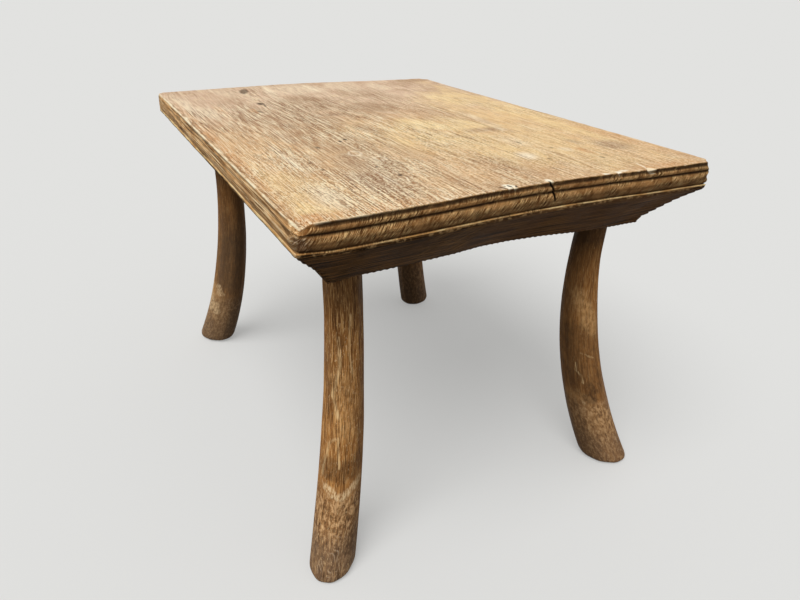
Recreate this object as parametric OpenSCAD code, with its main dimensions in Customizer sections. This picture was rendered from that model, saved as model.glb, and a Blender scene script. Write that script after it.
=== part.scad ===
// Low side table: a thick slab of old wood with a moulded edge, on four bent round legs.
// Each leg ends in a round tenon that a hidden wedge spreads inside a blind mortise.
// X runs along the grain, Y across it, and the floor is at Z = 0 under the middle of the top.

/* [Table top] */
// Length of the top along the grain
top_len = 600; // [480:5:900]
// Width of the top across the grain
top_wid = 465; // [380:5:600]
// Height of the top face above the floor
table_h = 423.5; // [340:0.5:560]
// Full thickness of the slab
top_thick = 75.5; // [60:0.5:90]
// Radius worn on the four upright corners
corner_r = 4; // [2:0.5:10]

/* [Edge moulding] */
// How far the edge of the top face is set in from the widest line
top_inset = 2.6; // [1.5:0.1:5]
// Radius worn on the edge of the top face
top_round = 1; // [0.4:0.1:1.5]
// Height of the upright riser under the top face
riser_h = 3.5; // [2:0.1:5]
// Height of the small bead under the riser
small_bead_h = 5.3; // [3:0.1:7]
// How far the small bead stays behind the widest line
small_bead_in = 0.4; // [0:0.1:1]
// Depth of the groove between the two beads
groove_depth = 2.4; // [1:0.1:4]
// Height of the flat at the bottom of that groove
groove_h = 0.9; // [0.4:0.1:2]
// Height of the large bead
large_bead_h = 13.4; // [9:0.1:17]
// How far the foot of the large bead turns in
bead_foot_in = 3.6; // [2:0.1:6]
// Height of the slope from the foot of the bead out to the lip
fillet_h = 1.2; // [0.6:0.1:2]
// How far the lip stays behind the widest line
lip_in = 1; // [0.5:0.1:3]
// Height of the lip's upright face
lip_h = 2.8; // [1.5:0.1:5]

/* [Underside] */
// How far the chamfer under the lip runs in
chamfer_in = 43; // [30:1:48]
// Number of rounded tool strokes along each long chamfer
stroke_count = 9; // [4:1:14]
// Depth of the notch between two strokes
stroke_depth = 1.8; // [0.4:0.1:2.6]

/* [Leg places] */
// Distance from an end of the top to the middle of a leg
leg_from_end = 80; // [76:1:140]
// Distance from a long side of the top to the middle of a leg
leg_from_side = 72.5; // [70:0.5:110]

/* [Leg shape] */
// Diameter of a leg where it meets the top
leg_top_d = 33; // [28:0.5:38]
// Thickness of a foot along the way that it bends
foot_deep = 57; // [40:1:66]
// Thickness of a foot across the way that it bends
foot_wide = 49.5; // [36:0.5:60]
// How early the leg swells on its way down, where 1 is an even taper
swell_power = 1.45; // [1:0.05:2.5]
// How late the leg sweeps out on its way down
sweep_power = 2.1; // [1.6:0.05:3]
// Share of its reach by which the leg first leans in
lean_in = 0.4; // [0:0.05:0.5]
// Radius worn around the edge of a sole
sole_round = 9; // [5:0.5:16]

/* [Foot reach] */
// How far the front left foot stands out along the grain
front_left_along = 43; // [15:1:80]
// How far the front left foot stands out across the grain
front_left_across = 39; // [15:1:60]
// How far the front right foot stands out along the grain
front_right_along = 51; // [15:1:80]
// How far the front right foot stands out across the grain
front_right_across = 48; // [15:1:60]
// How far the back left foot stands out along the grain
back_left_along = 54; // [15:1:80]
// How far the back left foot stands out across the grain
back_left_across = 38; // [15:1:60]
// How far the back right foot stands out along the grain
back_right_along = 22; // [15:1:80]
// How far the back right foot stands out across the grain
back_right_across = 38; // [15:1:60]

/* [Leg joints] */
// Diameter of the round tenon on top of a leg
tenon_d = 24; // [18:0.5:26]
// Length of the tenon above its shoulder
tenon_len = 44; // [30:1:50]
// Radial clearance of a tenon in its mortise
tenon_gap = 0.15; // [0.05:0.05:0.4]
// Clearance between the end of a tenon and the bottom of its mortise
end_gap = 0.8; // [0.5:0.1:2]
// Length of the wedge in the end of a tenon
wedge_len = 26; // [16:1:28]
// Thickness of the wedge at its driven end
wedge_thick = 4; // [3:0.1:5]
// Thickness of the wedge at its thin end
wedge_thin = 1.4; // [0.8:0.1:2]
// Clearance between a wedge and its saw cut
wedge_gap = 0.05; // [0.02:0.01:0.2]

/* [Hidden] */
$fn = 64;

top_colour = [0.72, 0.55, 0.36];
leg_colour = [0.45, 0.31, 0.18];
wedge_colour = [0.8, 0.68, 0.47];

// Heights of the moulding's members, counted down from the top face
riser_foot = riser_h;
small_bead_foot = riser_foot + small_bead_h;
groove_foot = small_bead_foot + groove_h;
large_bead_foot = groove_foot + large_bead_h;
fillet_foot = large_bead_foot + fillet_h;
lip_foot = fillet_foot + lip_h;

// The widest line of a bead lies at this share of its height
bead_widest = 0.4;
arc_steps = 5;
stroke_steps = 4;

leg_h = table_h - top_thick;
leg_x = top_len / 2 - leg_from_end;
leg_y = top_wid / 2 - leg_from_side;
mortise_r = tenon_d / 2 + tenon_gap;
mortise_depth = tenon_len + end_gap;
// How deep the tenon's root runs into the leg, so that the two are one piece
tenon_root = 10;
tenon_chamfer = 1.5;
// A cut runs past a face by this much
past = 1;

leg_sides = 28;
leg_rings = 30;
sole_rings = 5;

// Points of a bead from its top to its foot: [inset from the widest line, depth below the top]
function bead_points(top, foot, widest_in, top_in, foot_in) =
    let (widest = top + (foot - top) * bead_widest)
    concat(
        [for (i = [0:arc_steps - 1]) let (a = 90 * i / arc_steps)
            [widest_in + (top_in - widest_in) * (1 - sin(a)), top + (widest - top) * (1 - cos(a))]],
        [for (i = [0:arc_steps]) let (a = 90 * i / arc_steps)
            [widest_in + (foot_in - widest_in) * (1 - cos(a)), widest + (foot - widest) * sin(a)]]
    );

// Points of the moulding, from the top face down to the foot of the lip
function moulding_points() = concat(
    [for (i = [0:arc_steps]) let (a = 90 * i / arc_steps)
        [top_inset + top_round * (1 - sin(a)), top_round * (1 - cos(a))]],
    bead_points(riser_foot, small_bead_foot, small_bead_in, top_inset, groove_depth),
    bead_points(groove_foot, large_bead_foot, 0, groove_depth, bead_foot_in),
    [[lip_in, fillet_foot], [lip_in, lip_foot]]
);

// Points of the chamfer: plain on the ends, a row of rounded strokes on the long sides
function chamfer_points(strokes) =
    let (
        start = [lip_in, lip_foot],
        run = [chamfer_in, top_thick - lip_foot],
        inward = [run[1], -run[0]] / norm(run)
    )
    concat(
        strokes == 0 ? [] :
        [for (i = [0:strokes - 1], k = [0:stroke_steps - 1])
            let (part = k / stroke_steps, along = (i + part) / strokes)
            if (i + k > 0) start + run * along + inward * stroke_depth * (1 - sin(180 * part))],
        [start + run]
    );

// Closed outline of the slab, half_w to each side of the middle, with its top at table_h
module slab_outline(half_w, strokes) {
    edge = concat(moulding_points(), chamfer_points(strokes));
    last = len(edge) - 1;
    right = [for (p = edge) [half_w - p[0], table_h - p[1]]];
    left = [for (i = [last:-1:0]) [edge[i][0] - half_w, table_h - edge[i][1]]];
    polygon(concat(right, left));
}

// Upright block with rounded corners that wears the slab's four corners
module corner_block() {
    for (cut = [[corner_r, 0], [0, corner_r]]) {
        translate([cut[0] - top_len / 2, cut[1] - top_wid / 2, leg_h - past])
            cube([top_len - 2 * cut[0], top_wid - 2 * cut[1], top_thick + 2 * past]);
    }
    for (x = [-1, 1], y = [-1, 1]) {
        translate([x * (top_len / 2 - corner_r), y * (top_wid / 2 - corner_r), leg_h - past])
            cylinder(r = corner_r, h = top_thick + 2 * past);
    }
}

module mortise(side) {
    translate([side[0] * leg_x, side[1] * leg_y, leg_h - past])
        cylinder(r = mortise_r, h = mortise_depth + past);
}

module top_slab() {
    color(top_colour) difference() {
        intersection() {
            rotate([90, 0, 90]) linear_extrude(height = top_len, center = true)
                slab_outline(top_wid / 2, stroke_count);
            rotate([90, 0, 0]) linear_extrude(height = top_wid, center = true)
                slab_outline(top_len / 2, 0);
            corner_block();
        }
        for (x = [-1, 1], y = [-1, 1]) mortise([x, y]);
    }
}

// Share of its reach that a leg has swept out at t, from 0 at the top to 1 at the floor
function sweep_out(t) = (1 + lean_in) * pow(t, sweep_power) - lean_in * t;
function sweep_slope(t) = (1 + lean_in) * sweep_power * pow(t, sweep_power - 1) - lean_in;
function swell(t) = 1 - pow(1 - t, swell_power);
function leg_radius(t, foot) = (leg_top_d + (foot - leg_top_d) * swell(t)) / 2;
function sole_inset(z) =
    z >= sole_round ? 0 : sole_round - sqrt(pow(sole_round, 2) - pow(sole_round - z, 2));

// Heights of the level rings that a leg is drawn through, from its shoulder down to its sole
ring_heights = concat(
    [for (i = [0:leg_rings - 1]) leg_h - (leg_h - sole_round) * i / leg_rings],
    [for (i = [0:sole_rings]) sole_round * (1 - sin(90 * i / sole_rings))]
);

// One level ring of a leg, an oval that is longer along the way that the leg bends
function leg_ring(reach, z) =
    let (
        t = 1 - z / leg_h,
        bend = reach / norm(reach),
        slope = norm(reach) * sweep_slope(t) / leg_h,
        deep = leg_radius(t, foot_deep) * sqrt(1 + slope * slope) - sole_inset(z),
        wide = leg_radius(t, foot_wide) - sole_inset(z)
    )
    [for (k = [0:leg_sides - 1])
        let (
            a = 360 * k / leg_sides,
            p = reach * sweep_out(t) + bend * deep * cos(a) + [-bend[1], bend[0]] * wide * sin(a)
        )
        [p[0], p[1], z]];

module leg_shaft(reach) {
    points = [for (z = ring_heights) each leg_ring(reach, z)];
    last_ring = len(ring_heights) - 1;
    walls = [for (i = [0:last_ring - 1], k = [0:leg_sides - 1])
        let (a = i * leg_sides + k, b = i * leg_sides + (k + 1) % leg_sides)
        each [[a, b, a + leg_sides], [b, b + leg_sides, a + leg_sides]]];
    shoulder = [[for (k = [leg_sides - 1:-1:0]) k]];
    sole = [[for (k = [0:leg_sides - 1]) last_ring * leg_sides + k]];
    polyhedron(points = points, faces = concat(walls, shoulder, sole));
}

module tenon() {
    translate([0, 0, leg_h - tenon_root])
        cylinder(d = tenon_d, h = tenon_root + tenon_len - tenon_chamfer);
    translate([0, 0, leg_h + tenon_len - tenon_chamfer])
        cylinder(d1 = tenon_d, d2 = tenon_d - 2 * tenon_chamfer, h = tenon_chamfer);
}

// A wedge that spreads the tenon along the grain of the top, so that it can't split the slab
module wedge_shape(gap, extra) {
    taper = (wedge_thick - wedge_thin) / wedge_len;
    thin = wedge_thin / 2 + gap;
    thick = wedge_thick / 2 + gap + taper * extra / 2;
    translate([0, 0, leg_h + tenon_len]) rotate([90, 0, 0])
        linear_extrude(height = tenon_d + 2 * past, center = true)
            polygon([[-thin, -wedge_len - gap], [thin, -wedge_len - gap], [thick, extra], [-thick, extra]]);
}

module leg(side, reach) {
    color(leg_colour) translate([side[0] * leg_x, side[1] * leg_y, 0]) difference() {
        union() {
            leg_shaft([side[0] * reach[0], side[1] * reach[1]]);
            tenon();
        }
        wedge_shape(wedge_gap, past);
    }
}

module wedge(side) {
    color(wedge_colour) translate([side[0] * leg_x, side[1] * leg_y, 0]) intersection() {
        wedge_shape(0, 0);
        translate([0, 0, leg_h]) cylinder(d = tenon_d - 2 * tenon_chamfer, h = tenon_len);
    }
}

// The front is the end-grain end at +X, seen with the left side at -Y
front_left = [1, -1];
front_right = [1, 1];
back_left = [-1, -1];
back_right = [-1, 1];

module leg_front_left() leg(front_left, [front_left_along, front_left_across]);
module leg_front_right() leg(front_right, [front_right_along, front_right_across]);
module leg_back_left() leg(back_left, [back_left_along, back_left_across]);
module leg_back_right() leg(back_right, [back_right_along, back_right_across]);

top_slab();
leg_front_left();
leg_front_right();
leg_back_left();
leg_back_right();
wedge(front_left);  // wedge_front_left
wedge(front_right);  // wedge_front_right
wedge(back_left);  // wedge_back_left
wedge(back_right);  // wedge_back_right
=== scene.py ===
import itertools
import math

import bmesh
import bpy
import numpy as np
from mathutils import Matrix, Vector


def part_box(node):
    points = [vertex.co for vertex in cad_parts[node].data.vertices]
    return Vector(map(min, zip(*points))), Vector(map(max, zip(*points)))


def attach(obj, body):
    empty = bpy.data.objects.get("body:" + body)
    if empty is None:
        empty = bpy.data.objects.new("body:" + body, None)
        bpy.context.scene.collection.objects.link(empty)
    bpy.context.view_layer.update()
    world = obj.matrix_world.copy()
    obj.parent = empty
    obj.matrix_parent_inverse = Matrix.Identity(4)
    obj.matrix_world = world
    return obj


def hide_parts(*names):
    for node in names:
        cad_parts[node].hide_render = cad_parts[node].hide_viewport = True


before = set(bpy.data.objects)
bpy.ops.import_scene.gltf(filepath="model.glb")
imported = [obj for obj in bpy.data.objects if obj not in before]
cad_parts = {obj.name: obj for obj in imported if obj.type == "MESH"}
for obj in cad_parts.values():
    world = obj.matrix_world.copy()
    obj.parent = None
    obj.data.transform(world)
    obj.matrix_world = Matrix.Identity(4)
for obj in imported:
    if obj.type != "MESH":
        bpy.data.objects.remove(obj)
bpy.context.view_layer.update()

METRE = 1000.0
# A noise with bumps this long along an axis hardly changes along it
EVEN = 900

# Slab sizes, from the frame
slab_low, slab_high = (np.array(corner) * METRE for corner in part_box("top_slab"))
HALF_LEN, HALF_WID = (slab_high - slab_low)[:2] / 2
TOP_Z = slab_high[2]
UNDER_Z = slab_low[2]

# Members of the moulding from the top face down, as in the CAD part
TOP_INSET = 2.6
TOP_ROUND = 1.0
RISER_H = 3.5
SMALL_BEAD_H = 5.3
SMALL_BEAD_IN = 0.4
GROOVE_DEPTH = 2.4
GROOVE_H = 0.9
LARGE_BEAD_H = 13.4
BEAD_FOOT_IN = 3.6
FILLET_H = 1.2
LIP_IN = 1.0
LIP_H = 2.8
BEAD_WIDEST = 0.4
CORNER_R = 4.0
SMALL_BEAD_FOOT = RISER_H + SMALL_BEAD_H
GROOVE_FOOT = SMALL_BEAD_FOOT + GROOVE_H
LARGE_BEAD_FOOT = GROOVE_FOOT + LARGE_BEAD_H
FILLET_FOOT = LARGE_BEAD_FOOT + FILLET_H
LIP_FOOT = FILLET_FOOT + LIP_H

# The bright ledge, a painted highlight where it faces up, ends this far down the face of the lip
LEDGE_EDGE = 0.3

# Chamfer under the lip, with its rounded tool strokes along the long sides
CHAMFER_IN = 43.0
CHAMFER_H = TOP_Z - UNDER_Z - LIP_FOOT
CHAMFER_RUN = math.hypot(CHAMFER_IN, CHAMFER_H)
STROKES = 9
STROKE_DEPTH = 4.0
STROKE_STEPS = 4
# Tool strokes on the underside are this many grid lines wide
UNDER_LINES = 4
UNDER_DEPTH = 1.6

# Legs: places, section, sweep and tenon, as in the CAD part
LEG_FROM_END = 80.0
LEG_FROM_SIDE = 72.5
LEG_TOP_D = 33.0
FOOT_DEEP = 57.0
FOOT_WIDE = 49.5
SWELL_POWER = 1.45
SWEEP_POWER = 2.1
LEAN_IN = 0.4
SOLE_ROUND = 9.0
TENON_D = 24.0
TENON_LEN = 44.0
TENON_GAP = 0.15
END_GAP = 0.8
TENON_CHAMFER = 1.5
# Steps of a leg's mesh: round it, down to the sole, and round the edge of the sole
LEG_SIDES = 112
LEG_RINGS = 200
SOLE_RINGS = 10
# Saw cut in the end of a tenon, along Y, which holds the wedge
SLOT_DEEP = 26.05
SLOT_FOOT_HALF = 0.75
SLOT_END_HALF = 2.05
# Half width of the window in the underside grid that each mortise is set into
MORTISE_WINDOW = 14.0
# Height above the underside from which the wall of a mortise shows clean wood
BORE_FROM = 2
# Each leg's side of the table, and how far its foot stands out along and across the grain
LEGS = {
    "leg_front_left": ((1, -1), (43.0, 39.0)),
    "leg_front_right": ((1, 1), (51.0, 48.0)),
    "leg_back_left": ((-1, -1), (54.0, 38.0)),
    "leg_back_right": ((-1, 1), (22.0, 38.0)),
}


def srgb(red, green, blue):
    """A colour written as it shows on a screen, 0 to 255, as the linear values that a shader takes."""
    def linear(v):
        v /= 255
        return v / 12.92 if v <= 0.04045 else ((v + 0.055) / 1.055) ** 2.4
    return (linear(red), linear(green), linear(blue), 1.0)


def smooth(low, high, value):
    """0 at low, 1 at high, flat past both, with an even curve between them."""
    part = np.clip((value - low) / (high - low), 0, 1)
    return part * part * (3 - 2 * part)


def noise(points, seed):
    """Smooth noise from -1 to 1 at an array of points, about one bump to a unit."""
    table = np.random.RandomState(seed).uniform(-1, 1, 4096)
    cell = np.floor(points).astype(np.int64)
    part = points - cell
    ease = part * part * (3 - 2 * part)
    total = np.zeros(len(points))
    for corner in itertools.product((0, 1), repeat=3):
        at = cell + np.array(corner)
        pick = (at[:, 0] * 73856093) ^ (at[:, 1] * 19349663) ^ (at[:, 2] * 83492791)
        weight = np.where(np.array(corner) == 1, ease, 1 - ease).prod(axis=1)
        total += table[pick & 4095] * weight
    return total


def rough(points, sizes, seed, octaves=2):
    """Noise with bumps of the given sizes along X, Y and Z, and finer ones laid over them."""
    total = np.zeros(len(points))
    for i in range(octaves):
        total += noise(points / np.array(sizes) * 2 ** i + 17.3 * i, seed + i) / 2 ** i
    return total


def make_mesh(name, vertices, faces, attributes, flat_from):
    """A mesh object with its place in its vertices, shaded smooth up to one face, with its attributes."""
    mesh = bpy.data.meshes.new(name)
    mesh.from_pydata((vertices / METRE).tolist(), [], faces)
    for key, values in attributes.items():
        values = np.asarray(values, dtype=np.float32)
        if values.ndim == 2:
            mesh.attributes.new(key, "FLOAT_VECTOR", "POINT").data.foreach_set("vector", values.ravel())
        else:
            mesh.attributes.new(key, "FLOAT", "POINT").data.foreach_set("value", values)
    shape = bmesh.new()
    shape.from_mesh(mesh)
    bmesh.ops.recalc_face_normals(shape, faces=shape.faces)
    shape.to_mesh(mesh)
    shape.free()
    mesh.polygons.foreach_set("use_smooth", np.arange(len(faces)) < flat_from)
    piece = bpy.data.objects.new(name, mesh)
    bpy.context.scene.collection.objects.link(piece)
    return piece


# Slab: rows and grid

def bead_rows(top, foot, widest_in, top_in, foot_in, steps):
    """Rows of a bead from its top to its foot: inset and depth."""
    widest = top + (foot - top) * BEAD_WIDEST
    rows = []
    for i in range(steps):
        a = math.pi / 2 * i / steps
        rows.append((widest_in + (top_in - widest_in) * (1 - math.sin(a)),
                     top + (widest - top) * (1 - math.cos(a))))
    for i in range(steps + 1):
        a = math.pi / 2 * i / steps
        rows.append((widest_in + (foot_in - widest_in) * (1 - math.cos(a)),
                     widest + (foot - widest) * math.sin(a)))
    return rows


def moulding_rows():
    """Rows of the moulding from the top face to the foot of the lip: inset and depth."""
    rows = []
    for i in range(3):
        a = math.pi / 2 * i / 2
        rows.append((TOP_INSET + TOP_ROUND * (1 - math.sin(a)), TOP_ROUND * (1 - math.cos(a))))
    rows.append((TOP_INSET, (TOP_ROUND + RISER_H) / 2))
    rows += bead_rows(RISER_H, SMALL_BEAD_FOOT, SMALL_BEAD_IN, TOP_INSET, GROOVE_DEPTH, 3)
    rows += bead_rows(GROOVE_FOOT, LARGE_BEAD_FOOT, 0, GROOVE_DEPTH, BEAD_FOOT_IN, 6)
    rows += [((BEAD_FOOT_IN + LIP_IN) / 2, LARGE_BEAD_FOOT + 0.5), (LIP_IN + 0.5, FILLET_FOOT - 0.4)]
    rows += [(LIP_IN, FILLET_FOOT), (LIP_IN, FILLET_FOOT + LEDGE_EDGE)]
    rows += [(LIP_IN, FILLET_FOOT + LIP_H / 2), (LIP_IN, LIP_FOOT)]
    return rows


def chamfer_rows():
    """Rows of the chamfer down to the underside: inset, depth and notch of a long side."""
    rows = []
    last = STROKES * STROKE_STEPS
    for i in range(1, last + 1):
        notch = STROKE_DEPTH * (1 - math.sin(math.pi * (i % STROKE_STEPS) / STROKE_STEPS))
        notch *= CHAMFER_RUN / CHAMFER_H
        part = i / last
        rows.append((LIP_IN + CHAMFER_IN * part, LIP_FOOT + CHAMFER_H * part, notch if i < last else 0.0))
    return rows


# Grid of the slab: the width of its rim, the pitch of the lines in the rim along and across, how
# many lines it has along the middle, how many on each half across it, and the pitch by the crack
RIM = 12.0
RIM_PITCH = (1.5, 1.2)
MIDDLE_ALONG = 117
MIDDLE_LINES = 108
CRACK_PITCH = 0.5
# The underside keeps one line in this many along X
UNDER_KEEPS = 5


def grid_lines():
    """Places of the grid lines along X and Y, closer together at the rim and by the crack."""
    rim_x = np.arange(HALF_LEN - RIM, HALF_LEN + 0.1, RIM_PITCH[0])
    rim_y = np.arange(HALF_WID - RIM, HALF_WID + 0.1, RIM_PITCH[1])
    middle_x = np.linspace(-rim_x[0], rim_x[0], MIDDLE_ALONG)
    middle_y = np.arange(-MIDDLE_LINES, MIDDLE_LINES + 1) * rim_y[0] / MIDDLE_LINES
    crack = np.arange(CRACK_Y - 5.5, CRACK_Y + 6.6, CRACK_PITCH)
    middle_y = middle_y[(middle_y < crack[0] - 0.4) | (middle_y > crack[-1] + 0.4)]
    middle_y = np.sort(np.concatenate([middle_y, crack]))
    gx = np.concatenate([-rim_x[:0:-1], middle_x, rim_x[1:]])
    gy = np.concatenate([-rim_y[:0:-1], middle_y, rim_y[1:]])
    return gx / HALF_LEN, gy / HALF_WID


def border(nx, ny):
    """Grid places (i, j) round the border, in order."""
    walk = [(i, 0) for i in range(nx)]
    walk += [(nx, j) for j in range(ny)]
    walk += [(i, ny) for i in range(nx, 0, -1)]
    walk += [(0, j) for j in range(ny, 0, -1)]
    return walk


def window_lines(places, centre):
    """Indices of the grid lines through a mortise window, with the next line on each side."""
    first = np.searchsorted(places, centre - MORTISE_WINDOW) - 1
    return list(range(first, np.searchsorted(places, centre + MORTISE_WINDOW) + 1))


def leg_windows(gx, gy):
    """Window of the underside grid round each leg: its side of the table, and its lines along X and Y."""
    x = gx * (HALF_LEN - LIP_IN - CHAMFER_IN)
    y = gy * (HALF_WID - LIP_IN - CHAMFER_IN)
    for side, reach in LEGS.values():
        centre = leg_centre(side)
        yield side, window_lines(x, centre[0]), window_lines(y, centre[1])


def under_lines(gx, gy):
    """Grid lines along X that the underside keeps: a few, both ends, and all that pass by a leg."""
    kept = np.arange(len(gx)) % UNDER_KEEPS == 0
    kept[1 - UNDER_KEEPS:] = False
    kept[-1] = True
    for side, lines_x, lines_y in leg_windows(gx, gy):
        kept[lines_x] = True
    return np.flatnonzero(kept)


def window_walk(lines_x, lines_y):
    """Grid places (i, j) round the edge of a window, in order."""
    walk = [(i, lines_y[0]) for i in lines_x[:-1]]
    walk += [(lines_x[-1], j) for j in lines_y[:-1]]
    walk += [(i, lines_y[-1]) for i in lines_x[:0:-1]]
    walk += [(lines_x[0], j) for j in lines_y[:0:-1]]
    return walk


def leg_centre(side):
    """Place of the middle of a leg's top, from the leg's side of the table."""
    return np.array([side[0] * (HALF_LEN - LEG_FROM_END), side[1] * (HALF_WID - LEG_FROM_SIDE)])


def mortise_rings(points, edge, side):
    """Points of a mortise: one ring at the underside and one at its end, a point for each edge point."""
    off = points[edge, :2] - leg_centre(side)
    ring = leg_centre(side) + off / np.linalg.norm(off, axis=1)[:, None] * (TENON_D / 2 + TENON_GAP)
    low = UNDER_Z + crown(ring[:, 0], ring[:, 1])
    high = np.full(len(edge), UNDER_Z + TENON_LEN + END_GAP)
    return np.concatenate([np.column_stack([ring, low]), np.column_stack([ring, high])])


def mortise_faces(edge, start):
    """Faces of a mortise between the edge of its window and its two rings, which start at an index."""
    count = len(edge)
    loops = [edge, list(range(start, start + count)), list(range(start + count, start + 2 * count))]
    faces = []
    for outer, inner in zip(loops, loops[1:]):
        for k in range(count):
            n = (k + 1) % count
            faces.append((outer[k], outer[n], inner[n], inner[k]))
    return faces + [tuple(loops[-1])]


def round_corners(x, y, half_x, half_y, radius):
    """Moves points of a rectangle of these half sizes so that its corners become round."""
    cx = np.sign(x) * (half_x - radius)
    cy = np.sign(y) * (half_y - radius)
    inside = (np.abs(x) > half_x - radius) & (np.abs(y) > half_y - radius)
    qx, qy = x - cx, y - cy
    keep = np.maximum(np.abs(qx), np.abs(qy)) / (np.hypot(qx, qy) + 1e-9)
    return np.where(inside, cx + qx * keep, x), np.where(inside, cy + qy * keep, y)


def slab_points(gx, gy, walk):
    """Points of the slab before wear, and how many the top and the underside have.

    A point holds its place, its depth, 1 on a side, its inset and the way out."""
    wx = np.array([gx[i] for i, j in walk])
    wy = np.array([gy[j] for i, j in walk])
    corner_x, corner_y = round_corners(wx * HALF_LEN, wy * HALF_WID, HALF_LEN, HALF_WID, CORNER_R)
    out = np.stack([corner_x - np.clip(corner_x, -HALF_LEN + CORNER_R, HALF_LEN - CORNER_R),
                    corner_y - np.clip(corner_y, -HALF_WID + CORNER_R, HALF_WID - CORNER_R)], axis=1)
    out /= np.linalg.norm(out, axis=1)[:, None]
    parts = []

    def add(x, y, inset, depth, outward, radius, notch=0.0):
        half_x, half_y = HALF_LEN - inset, HALF_WID - inset - notch
        px, py = round_corners(x * half_x, y * half_y, half_x, half_y, radius)
        side = 0.0 if outward is None else 1.0
        outward = np.zeros((len(x), 2)) if outward is None else outward
        same = np.ones(len(x))
        parts.append(np.column_stack([px, py, (TOP_Z - depth) * same, depth * same, side * same,
                                      inset * same, outward]))

    all_x, all_y = (g.ravel() for g in np.meshgrid(gx, gy, indexing="ij"))
    rows = moulding_rows()
    add(all_x, all_y, *rows[0], None, CORNER_R)
    for inset, depth in rows[1:]:
        add(wx, wy, inset, depth, out, CORNER_R)
    rows = chamfer_rows()
    for inset, depth, notch in rows[:-1]:
        add(wx, wy, inset, depth, out, 1.0, notch)
    under_x, under_y = (g.ravel() for g in np.meshgrid(gx[under_lines(gx, gy)], gy, indexing="ij"))
    add(under_x, under_y, rows[-1][0], rows[-1][1], None, 1.0)
    return np.concatenate(parts), len(all_x), len(under_x)


def slab_faces(gx, gy, walk, top_count, under_start):
    """Faces of the slab: top grid, rows round the sides, underside grid with fewer lines.

    Also returns the window edges for the mortises, as each leg's side of the table and its points."""
    nx, ny = len(gx) - 1, len(gy) - 1
    ring = len(walk)
    keep = under_lines(gx, gy).tolist()
    windows = list(leg_windows(gx, gy))
    under_row = {i: n for n, i in enumerate(keep)}

    def top_at(i, j):
        return i * (ny + 1) + j

    def under_at(i, j):
        return under_start + under_row[i] * (ny + 1) + j

    faces = []
    for i in range(nx):
        for j in range(ny):
            faces.append((top_at(i, j), top_at(i + 1, j), top_at(i + 1, j + 1), top_at(i, j + 1)))
    open_cells = set()
    for side, lines_x, lines_y in windows:
        open_cells.update(itertools.product(lines_x[:-1], lines_y[:-1]))
    for i, n in zip(keep, keep[1:]):
        for j in range(ny):
            if (i, j) not in open_cells:
                faces.append((under_at(i, j), under_at(i, j + 1), under_at(n, j + 1), under_at(n, j)))
    loops = [[top_at(i, j) for i, j in walk]]
    for start in range(top_count, under_start, ring):
        loops.append(list(range(start, start + ring)))
    for upper, lower in zip(loops, loops[1:]):
        for k in range(ring):
            n = (k + 1) % ring
            faces.append((upper[k], lower[k], lower[n], upper[n]))
    last = {at: loops[-1][k] for k, at in enumerate(walk)}
    for j in (0, ny):
        for a, b in zip(keep, keep[1:]):
            faces.append([last[(i, j)] for i in range(a, b + 1)] + [under_at(b, j), under_at(a, j)])
    for i in (0, nx):
        for j in range(ny):
            faces.append((last[(i, j)], last[(i, j + 1)], under_at(i, j + 1), under_at(i, j)))
    edges = []
    for side, lines_x, lines_y in windows:
        edges.append((side, [under_at(i, j) for i, j in window_walk(lines_x, lines_y)]))
    return faces, edges


# Slab: uneven work and wear

# Drying crack in the front end: place across the grain at its top, how far it runs to the right on
# its way down, how far down it ends, its depth and its half width
CRACK_Y = 11.5
CRACK_RUN = 8.0
CRACK_FOOT = 21.0
CRACK_DEEP = 5.0
CRACK_HALF = 1.8
# The right side of the crack has stepped back, and the top has sunk at its start
CRACK_STEP = 0.45
CRACK_SUNK = 1.6
# How far the flattened moulding at the back left corner stays behind the widest line
FLAT_INSET = 1.2
# Share of the moulding's relief that wear has filled along the rest of the left side
LEFT_WORN = 0.45
# Ball that each corner is worn to: its radius, and how much further in it sits
CORNER_BALLS = {(1, -1): (17.0, 1.0), (1, 1): (13.0, 0.0), (-1, -1): (10.0, 0.0), (-1, 1): (14.0, 0.0)}
# Chips in the edge of the front end: place across the grain, half width, depth
FRONT_CHIPS = [(-34.0, 3.2, 2.4), (-28.0, 3.0, 3.0), (13.5, 3.6, 2.4), (80.0, 3.4, 0.9), (97.0, 3.4, 2.8),
               (107.0, 3.4, 1.2), (122.0, 3.4, 1.2), (140.0, 8.0, 5.0), (187.0, 3.0, 1.2), (-94.0, 2.0, 1.4),
               (-140.0, 2.4, 1.0), (-160.0, 2.4, 1.0), (-186.0, 3.0, 1.2)]
# The moulding is this much higher on the ends and lower on the left side than the CAD part draws it
END_MOULDING = 1.04
LEFT_MOULDING = 0.94
# The foot of the front chamfer runs in further or less far: place across the grain, and how far out
FOOT_LINE = [(-232, 0.0), (-188, -1.0), (-160, -3.6), (-100, -3.0), (-60, -3.0), (-25, -6.0), (10, -5.5),
             (40, -3.6), (60, -1.6), (90, 1.5), (120, 3.0), (232, 3.0)]
# The left chamfer is hollow at the near corner, and the right side splays towards the front
NEAR_HIP_IN = 4.6
FAR_HIP_IN = 4.0
FAR_HIP_UP = 3.7
FAR_CORNER_OUT = 5.6
# Crown of the front end and of the back end: its height, its place across the grain, its spread, and
# how far the end has sunk beside it. The front end also falls this much a millimetre to the right
FRONT_CROWN = (4.4, 10, 130, 2.2)
BACK_CROWN = (3.0, -30, 150, 2.0)
FRONT_FALL = 0.0052
# How far the moulding wanders up and down, and how far its left side leans in towards the front
MOULDING_WANDER = 0.36
LEFT_LEAN = 1.2


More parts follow.
